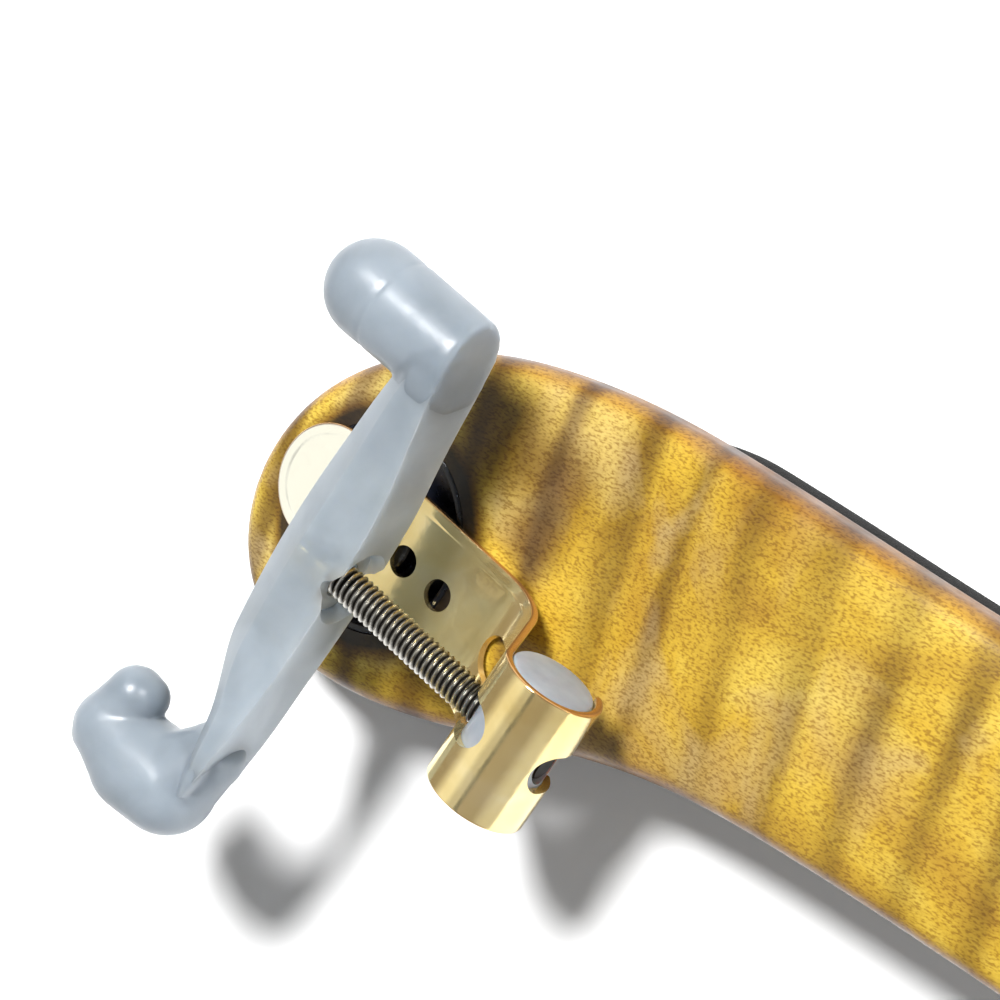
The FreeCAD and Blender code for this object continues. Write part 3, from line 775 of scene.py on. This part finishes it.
def strip_height(distance, run, side):
    """Height of the strip's face above its middle. The rim is rounded, and on top a line is pressed along
    it, with a slightly lower pan inside the line."""
    rounding = 0.26
    line_at, line_width, line_depth = 1.5, 0.22, 0.07
    pan_at, pan_width, pan_depth = 1.6, 0.18, 0.10
    drop = rounding - math.sqrt(max(0.0, rounding ** 2 - max(0.0, rounding - distance) ** 2))
    height = STRIP_THICK / 2 - drop
    if side > 0 and run < STRIP.flat + STRIP.bend:
        line = math.exp(-((distance - line_at) / line_width) ** 2)
        pan = pan_depth / (1 + math.exp(-(distance - pan_at) / pan_width))
        height -= line_depth * line + pan
    return side * height


def strip_grid():
    """The strip laid flat as a closed skin: X is the run, Y across, Z its thickness. Its rows and columns
    are closest along the rim and the pressed line."""
    near_tip = [STRIP_END_HALF * (1 - math.cos(math.pi / 2 * i / 30)) for i in range(1, 31)]
    middle = list(np.linspace(STRIP_END_HALF, STRIP.length, 200)[1:-1])
    near_end = [STRIP.length - back for back in (0.25, 0.12, 0.03, 0.0)]
    runs = sorted(set(round(run, 4) for run in [0.02] + near_tip + middle + near_end))
    mean_half = 7.6
    insets = [0.0, 0.04, 0.10, 0.18, 0.28, 0.5, 0.8, 1.05, 1.25, 1.4, 1.5, 1.6, 1.75, 1.95, 2.2, 2.6, 3.2,
              4.0, 5.0, 6.0]
    shares = [1 - inset / mean_half for inset in insets]
    across = shares + [0.1, 0.0, -0.1] + [-share for share in reversed(shares)]
    rings = []
    for run in runs:
        half = strip_half_width(run)
        ring = []
        for side, order in ((1, across), (-1, list(reversed(across)))):
            for share in order:
                y = half * share
                ring.append((run, y, strip_height(max(0.0, rim_distance(run, y)), run, side)))
        rings.append(ring)
    return ring_mesh(rings)


def capsule_tool(start, stop, radius):
    """A round-ended slot through the flat strip."""
    outline = arc((stop, 0), radius, -90, 90, 24) + arc((start, 0), radius, 90, 270, 24)
    rings = [[(x, y, z) for x, y in outline] for z in (-3, 3)]
    return put("tool", ring_mesh(rings), REST)


def build_bracket(end):
    """The gold strip. It is cut, and its painted glare and its rims are marked, while it lies flat, and
    then it is bent to shape.
    """
    strip = put(f"gold_bracket_{end}", strip_grid(), REST)
    tip = STRIP_END_AT + STRIP_END_HALF
    tools = []
    for step in range(3):
        place = REST @ Matrix.Translation((tip - PIVOT_AT + step * HOLE_PITCH, 0, 0))
        tools.append(disc_tool(HOLE_RADIUS, -3, 3, place, 64))
    ramp_slot_end = STRIP.run_at_angle(RAMP_SLOT_TO) - SLOT_HALF
    tools.append(capsule_tool(STRIP.flat + STRIP.bend * 0.5, ramp_slot_end, SLOT_HALF))
    curl_slot_start = STRIP.run_at_angle(CURL_SLOT_FROM) + SLOT_HALF
    tools.append(capsule_tool(curl_slot_start, STRIP.length + 9, SLOT_HALF))
    carve(strip, *tools)
    mesh = strip.data
    # Painted highlight: a share of glare that pales the strip towards its round tip.
    tip_glare = mesh.attributes.new("tip_glare", "FLOAT", "POINT")
    for vert, value in zip(mesh.vertices, tip_glare.data):
        value.value = smooth_step((GLARE_FROM - vert.co.x / MM) / GLARE_OVER)
    rim = mesh.attributes.new("rim", "FLOAT", "POINT")
    for vert, value in zip(mesh.vertices, rim.data):
        run, across, _ = vert.co / MM
        edge = max(0.0, 1 - max(0.0, rim_distance(run, across)) / RIM_WIDTH)
        value.value = min(1.0, edge * 1.2)
    for vert in mesh.vertices:
        run, across, height = vert.co / MM
        point, normal = STRIP.at(min(run, STRIP.length))
        spot = point + normal * height
        vert.co = BRACKET[end] @ Vector((spot.x, across, spot.y))
    finish(strip, f"bracket_{end}", GOLD, [f"bracket_{end}"], 42)


# ---------------------------------------------------------------- leg

THREAD_PITCH = 0.794
STUD_RADIUS = 2.083
STUD_LOW = -4.6
STUD_HIGH = 31.6
THREAD_DEPTH = 0.46
STUD_BORE = 2.14


def build_nut(end):
    """Nylon barrel with crowned ends and a cross bore."""
    half, radius, rise = 7.95, 5.0, 0.45
    angles = np.linspace(0.06, math.pi / 2, 14)
    crown = [(radius * math.cos(a), half + rise * math.sin(a)) for a in angles]
    upper = [(radius, half - 0.35), (radius - 0.04, half - 0.12)] + [(r - 0.15, z) for r, z in crown[:-1]]
    lower = [(r, -z) for r, z in reversed(upper)]
    profile = [(0, -half - rise)] + lower + upper + [(0, half + rise)]
    nut = lathe(f"nylon_barrel_{end}_turned", profile, along_y(LEG[end]))
    carve(nut, disc_tool(STUD_BORE, -9, 9, LEG[end], 48))
    finish(nut, f"barrel_{end}", NYLON, [f"nylon_barrel_{end}"])


def build_stud(end):
    """Stud with its real helical thread. Each row of faces follows the helix, and the last face of a row
    joins the row one turn on."""
    columns, rows_per_turn = 40, 8
    crest_flat, flank, lead_in = 0.12, 0.76, 0.5
    rings = []
    turns = int((STUD_HIGH - STUD_LOW) / THREAD_PITCH) + 2
    for i in range(turns * rows_per_turn):
        phase = (i % rows_per_turn) / rows_per_turn
        crest = 1 - min(1.0, max(0.0, (abs(phase - 0.5) * 2 - crest_flat) / flank))
        ring = []
        for k in range(columns):
            angle = 2 * math.pi * k / columns
            height = STUD_LOW + THREAD_PITCH * (i / rows_per_turn + k / columns - 1)
            clipped = min(STUD_HIGH, max(STUD_LOW, height))
            taper = min(1.0, min(clipped - STUD_LOW, STUD_HIGH - clipped) / lead_in)
            radius = STUD_RADIUS - THREAD_DEPTH * (1 - crest * taper)
            ring.append((radius * math.cos(angle), radius * math.sin(angle), clipped))
        rings.append(ring)
    skin = bmesh.new()
    grid = [[skin.verts.new(point) for point in ring] for ring in rings]
    for i in range(len(grid) - 1):
        for k in range(columns):
            if k + 1 < columns:
                corners = (grid[i][k], grid[i][k + 1], grid[i + 1][k + 1], grid[i + 1][k])
            elif i + rows_per_turn + 1 < len(grid):
                j = i + rows_per_turn
                corners = (grid[i][k], grid[j][0], grid[j + 1][0], grid[i + 1][k])
            else:
                continue
            skin.faces.new(corners)
    bmesh.ops.remove_doubles(skin, verts=skin.verts, dist=1e-4)
    bmesh.ops.dissolve_degenerate(skin, edges=skin.edges, dist=1e-5)
    bmesh.ops.holes_fill(skin, edges=[e for e in skin.edges if e.is_boundary], sides=0)
    # How deep each point lies in the thread, for the painted shade in the thread's roots.
    depths = [(STUD_RADIUS - math.hypot(vert.co.x, vert.co.y)) / THREAD_DEPTH for vert in skin.verts]
    stud = put(f"threaded_stud_{end}", skin, LEG[end])
    root = stud.data.attributes.new("root", "FLOAT", "POINT")
    for value, depth in zip(root.data, depths):
        value.value = min(1.0, max(0.0, depth * 1.7 - 0.35))
    finish(stud, f"stud_{end}", STEEL, [f"leg_stud_{end}"], 50)


# ---------------------------------------------------------------- fork

FORK_HALF_THICK = 4.2
FRONT_CLAW_AT = 28.0
REAR_CLAW_AT = -32.2
INSERT_LOW = 27.2
INSERT_HIGH = 31.8
INSERT_RADIUS = 3.1
MELT_VOXEL = 0.32


def fork_low(y):
    """Lower edge of the bar: a shallow bow that rises a little towards the front claw."""
    return 24.9 + 1.9 * ((y + 2) / 30) ** 2 + 0.7 * smooth_step((y - 8) / 14)


def fork_high(y):
    """Upper edge of the bar: a bow that dips into a neck before the rear claw."""
    return 35.1 - 4.4 * ((y - 3) / 30) ** 2 - 2.4 * smooth_step((-12 - y) / 10)


def fork_half(y):
    """Half thickness of the fork's bar, which widens to the claws' own at both elbows."""
    return FORK_HALF_THICK + 0.9 * smooth_step((abs(y) - 13) / 13)


def build_core(end):
    """The fork's bar, with the flared bore that the stud enters from below, and the brass insert in it."""
    stations = np.linspace(REAR_CLAW_AT + 1.5, FRONT_CLAW_AT - 1.0, 72)
    rings = [bar_section(y) for y in stations]
    core = put(f"fork_bar_{end}", ring_mesh(rings), LEG[end])
    soften(core, 0.9, 4, 28)
    low, high, radius = INSERT_LOW, INSERT_HIGH, INSERT_RADIUS
    mouth, throat, throat_top = 4.9, 4.2, 26.6
    bore = [(0, 20), (mouth, 20), (mouth, 24.8), (4.35, 25.6), (throat, throat_top), (0, throat_top)]
    flare = lathe("tool", bore, LEG[end])
    neck = disc_tool(2.3, 26, low + 0.2, LEG[end])
    carve(core, flare, neck, disc_tool(radius, low, high, LEG[end]))
    finish(core, f"fork_{end}", CORE, [f"fork_core_{end}"], 40)

    lower = [(2.2, low), (2.9, low), (radius, low + 0.2), (radius, low + 1.7), (2.75, low + 1.9)]
    insert = lower + [(r, low + high - z) for r, z in reversed(lower)]
    piece = lathe(f"brass_insert_{end}", insert, LEG[end], closed=True)
    finish(piece, f"fork_{end}", BRASS, [f"thread_insert_{end}"])


def bar_section(y, swell=0.0):
    """The fork bar's section: a rectangle whose upper outer corner is cut off by a bevel."""
    low, high, half = fork_low(y) - swell, fork_high(y) + swell, fork_half(y) + swell
    drop = 3.2 * (high - low) / 8.8
    return [(-half, y, low), (half, y, low), (half, y, high - drop), (half - drop * 0.85, y, high),
            (-half, y, high)]


def add_melt(piece):
    """Adds a voxel remesh that joins the piece's overlapping lumps into one skin."""
    melt = piece.modifiers.new("melt", "REMESH")
    melt.mode = "VOXEL"
    melt.voxel_size = MELT_VOXEL * MM


def blob(lumps, name, place, collar, trim=None):
    """Melts balls and rods together: each lump is (start, stop, start radius, stop radius). The collar is a
    stretch of the fork's bar, from its free end, just under the bar's own surface, to a swollen root."""
    free, root = collar
    steps, rising_steps = 15, 8
    sunk, swollen = -0.16, 0.14
    sections = []
    for i in range(steps + 1):
        swell = sunk + (swollen - sunk) * min(1.0, i / rising_steps)
        sections.append(bar_section(free + (root - free) * i / steps, swell))
    mass = ring_mesh(sections)
    bmesh.ops.recalc_face_normals(mass, faces=mass.faces)
    for start, stop, first, last in lumps:
        start, stop = Vector(start), Vector(stop)
        line = stop - start
        turn = line.to_track_quat("Z", "Y").to_matrix().to_4x4()
        for centre, radius in ((start, first), (stop, last)):
            bmesh.ops.create_uvsphere(mass, u_segments=32, v_segments=20, radius=radius,
                                      matrix=Matrix.Translation(centre))
        bmesh.ops.create_cone(mass, cap_ends=True, segments=40, radius1=first, radius2=last,
                              depth=line.length, matrix=Matrix.Translation((start + stop) / 2) @ turn)
    piece = put(name, mass, place)
    if trim:
        add_melt(piece)
        apply_modifiers(piece)
        carve(piece, trim(place))
    add_melt(piece)
    relax = piece.modifiers.new("relax", "SMOOTH")
    relax.factor = 0.5
    relax.iterations = 10
    apply_modifiers(piece)
    return piece


def groove(piece, place, height):
    """Presses a faint parting line round the front claw at a height along the leg."""
    deepest, half_width = 0.10, 0.30
    back = place.inverted()
    for vert in piece.data.vertices:
        spot = back @ vert.co
        depth = deepest * math.exp(-((spot.z - height) / half_width) ** 2)
        away = Vector((spot.x, spot.y - FRONT_CLAW_AT, 0)).normalized()
        vert.co = place @ (spot - away * depth)


def under_fork(place):
    """Tool that trims a boot flush with the underside of the fork's bar."""
    rings = []
    for y in np.linspace(12, 42, 16):
        low = fork_low(y) - 0.12
        rings.append([(-9, y, 8), (9, y, 8), (9, y, low), (-9, y, low)])
    return put("tool", ring_mesh(rings), place)


def build_boots(end):
    """The two soft claws: a straight round one in front, and a hooked one behind."""
    place = LEG[end]
    front = blob([
        ((0, FRONT_CLAW_AT, 29.0), (0, 27.9, 41.7), 5.5, 5.65),
    ], f"claw_front_{end}_boot", place, (21.0, 29.0), trim=under_fork)
    groove(front, place, 38.8)
    finish(front, f"fork_{end}", BOOT, [f"claw_boot_front_{end}"], 45)
    rear = blob([
        ((0, -27.0, 28.4), (0, -33.6, 31.2), 3.9, 5.9),
        ((0, -33.6, 31.2), (0, -34.2, 35.5), 5.9, 5.9),
        ((0, -34.2, 35.5), (0, -33.2, 40.4), 5.9, 4.9),
        ((0, -33.2, 40.8), (0, -28.2, 40.4), 4.5, 3.5),
        ((0, -28.2, 40.4), (0, -27.5, 39.1), 3.5, 2.8),
        ((0, -35.5, 42.3), (0, -34.4, 43.0), 2.7, 2.6),
        ((0, -37.7, 37.4), (0, -37.9, 36.4), 2.4, 2.4),
    ], f"claw_rear_{end}_boot", place, (-25.0, -31.0))
    finish(rear, f"fork_{end}", BOOT, [f"claw_boot_rear_{end}"], 45)


# ---------------------------------------------------------------- the whole shoulder rest

build_bar()
for end in ENDS:
    build_swivel(end)
    build_bracket(end)
    build_nut(end)
    build_stud(end)
    build_core(end)
    build_boots(end)


# ---------------------------------------------------------------- studio

def build_floor():
    """A plain pale floor, a tenth of a millimetre under the rest."""
    plane = bmesh.new()
    bmesh.ops.create_grid(plane, x_segments=1, y_segments=1, size=3000)
    floor = put("studio_floor", plane, frame_at((1, 0, 0), (0, 1, 0), UP, (0, 0, -0.0001)))
    material, _, _, bsdf = material_base("pale_floor")
    bsdf.inputs["Base Color"].default_value = (0.93, 0.93, 0.93, 1)
    bsdf.inputs["Roughness"].default_value = 0.7
    floor.data.materials.append(material)


def hang_light(lamp, position, direction):
    """Places a lamp and turns it to shine along a direction."""
    holder = bpy.data.objects.new(lamp.name, lamp)
    holder.location = position
    holder.rotation_euler = Vector(direction).to_track_quat("-Z", "Y").to_euler()
    bpy.context.scene.collection.objects.link(holder)
    return holder


def build_lights():
    """A broad sun from behind the bar, a weak low fill beside it, and the studio round them. Glossy rays
    see a white tent with a dark gap and brown sides, diffuse rays see a dim grey, and the camera white."""
    key = bpy.data.lights.new("key", "SUN")
    key.energy = 6.6
    key.angle = math.radians(15)
    hang_light(key, (0, 0, 0), (-0.05, -0.46, -0.72))
    fill = bpy.data.lights.new("low_fill", "AREA")
    fill.shape = "SQUARE"
    fill.size = 0.12
    fill.energy = 1.6
    centre = Vector(JOINTS["leg_fold_chest"]["pos_m"])
    beside = Vector((0.5, -0.12, 0.06))
    hang_light(fill, centre + beside, -beside).visible_glossy = False
    world = bpy.data.worlds.new("studio")
    world.use_nodes = True
    nodes, links = world.node_tree.nodes, world.node_tree.links
    coordinates = nodes.new("ShaderNodeTexCoord")
    parts = nodes.new("ShaderNodeSeparateXYZ")
    links.new(coordinates.outputs["Generated"], parts.inputs["Vector"])
    height = ramp(nodes, links, parts.outputs["Z"], [
        (0.0, grey(0.12)), (0.4, grey(0.14)), (1.0, grey(0.17))])
    turned = nodes.new("ShaderNodeMapping")
    turned.inputs["Rotation"].default_value = (0, 0, math.radians(18))
    links.new(coordinates.outputs["Generated"], turned.inputs["Vector"])
    sides = nodes.new("ShaderNodeSeparateXYZ")
    links.new(turned.outputs["Vector"], sides.inputs["Vector"])
    spread = nodes.new("ShaderNodeMapRange")
    spread.inputs["From Min"].default_value = -1.0
    links.new(sides.outputs["X"], spread.inputs["Value"])
    tent = ramp(nodes, links, spread.outputs["Result"], [
        (0.10, (0.20, 0.15, 0.10)), (0.22, (0.98, 0.96, 0.88)), (0.34, (0.98, 0.97, 0.90)),
        (0.42, (0.50, 0.49, 0.46)), (0.51, (0.50, 0.49, 0.46)), (0.525, grey(0.01)),
        (0.565, (0.014, 0.011, 0.008)), (0.60, (0.24, 0.19, 0.14)), (0.82, (0.20, 0.16, 0.12)),
        (0.93, grey(0.6))])
    ray = nodes.new("ShaderNodeLightPath")
    sky = mixed(nodes, links, "MIX", ray.outputs["Is Glossy Ray"], height, tent)
    sky = mixed(nodes, links, "MIX", ray.outputs["Is Camera Ray"], sky, grey(1.0))
    links.new(sky, nodes["Background"].inputs["Color"])
    nodes["Background"].inputs["Strength"].default_value = 0.95
    bpy.context.scene.world = world


def build_camera():
    """A long lens above the rest's chest end, looking down and outwards. Its place is kept in the bracket's
    frame."""
    position = Vector((122.8, 130.0, 262.6))
    forward = Vector((-0.4404, -0.3508, -0.8264))
    upward = Vector((-0.6235, 0.7818, 0.0003))
    lens = bpy.data.cameras.new("camera")
    lens.lens = 108
    lens.sensor_width = 36
    lens.clip_start = 0.01
    camera = bpy.data.objects.new("camera", lens)
    turn = BRACKET["chest"].to_3x3() * (1 / MM)
    back = -(turn @ forward).normalized()
    right = (turn @ upward).cross(back).normalized()
    top = back.cross(right)
    spot = BRACKET["chest"] @ position
    camera.matrix_world = Matrix([[right[i], top[i], back[i], spot[i]] for i in range(3)] + [[0, 0, 0, 1]])
    bpy.context.scene.collection.objects.link(camera)
    bpy.context.scene.camera = camera


build_floor()
build_lights()
build_camera()
bpy.context.scene.view_settings.view_transform = "Standard"
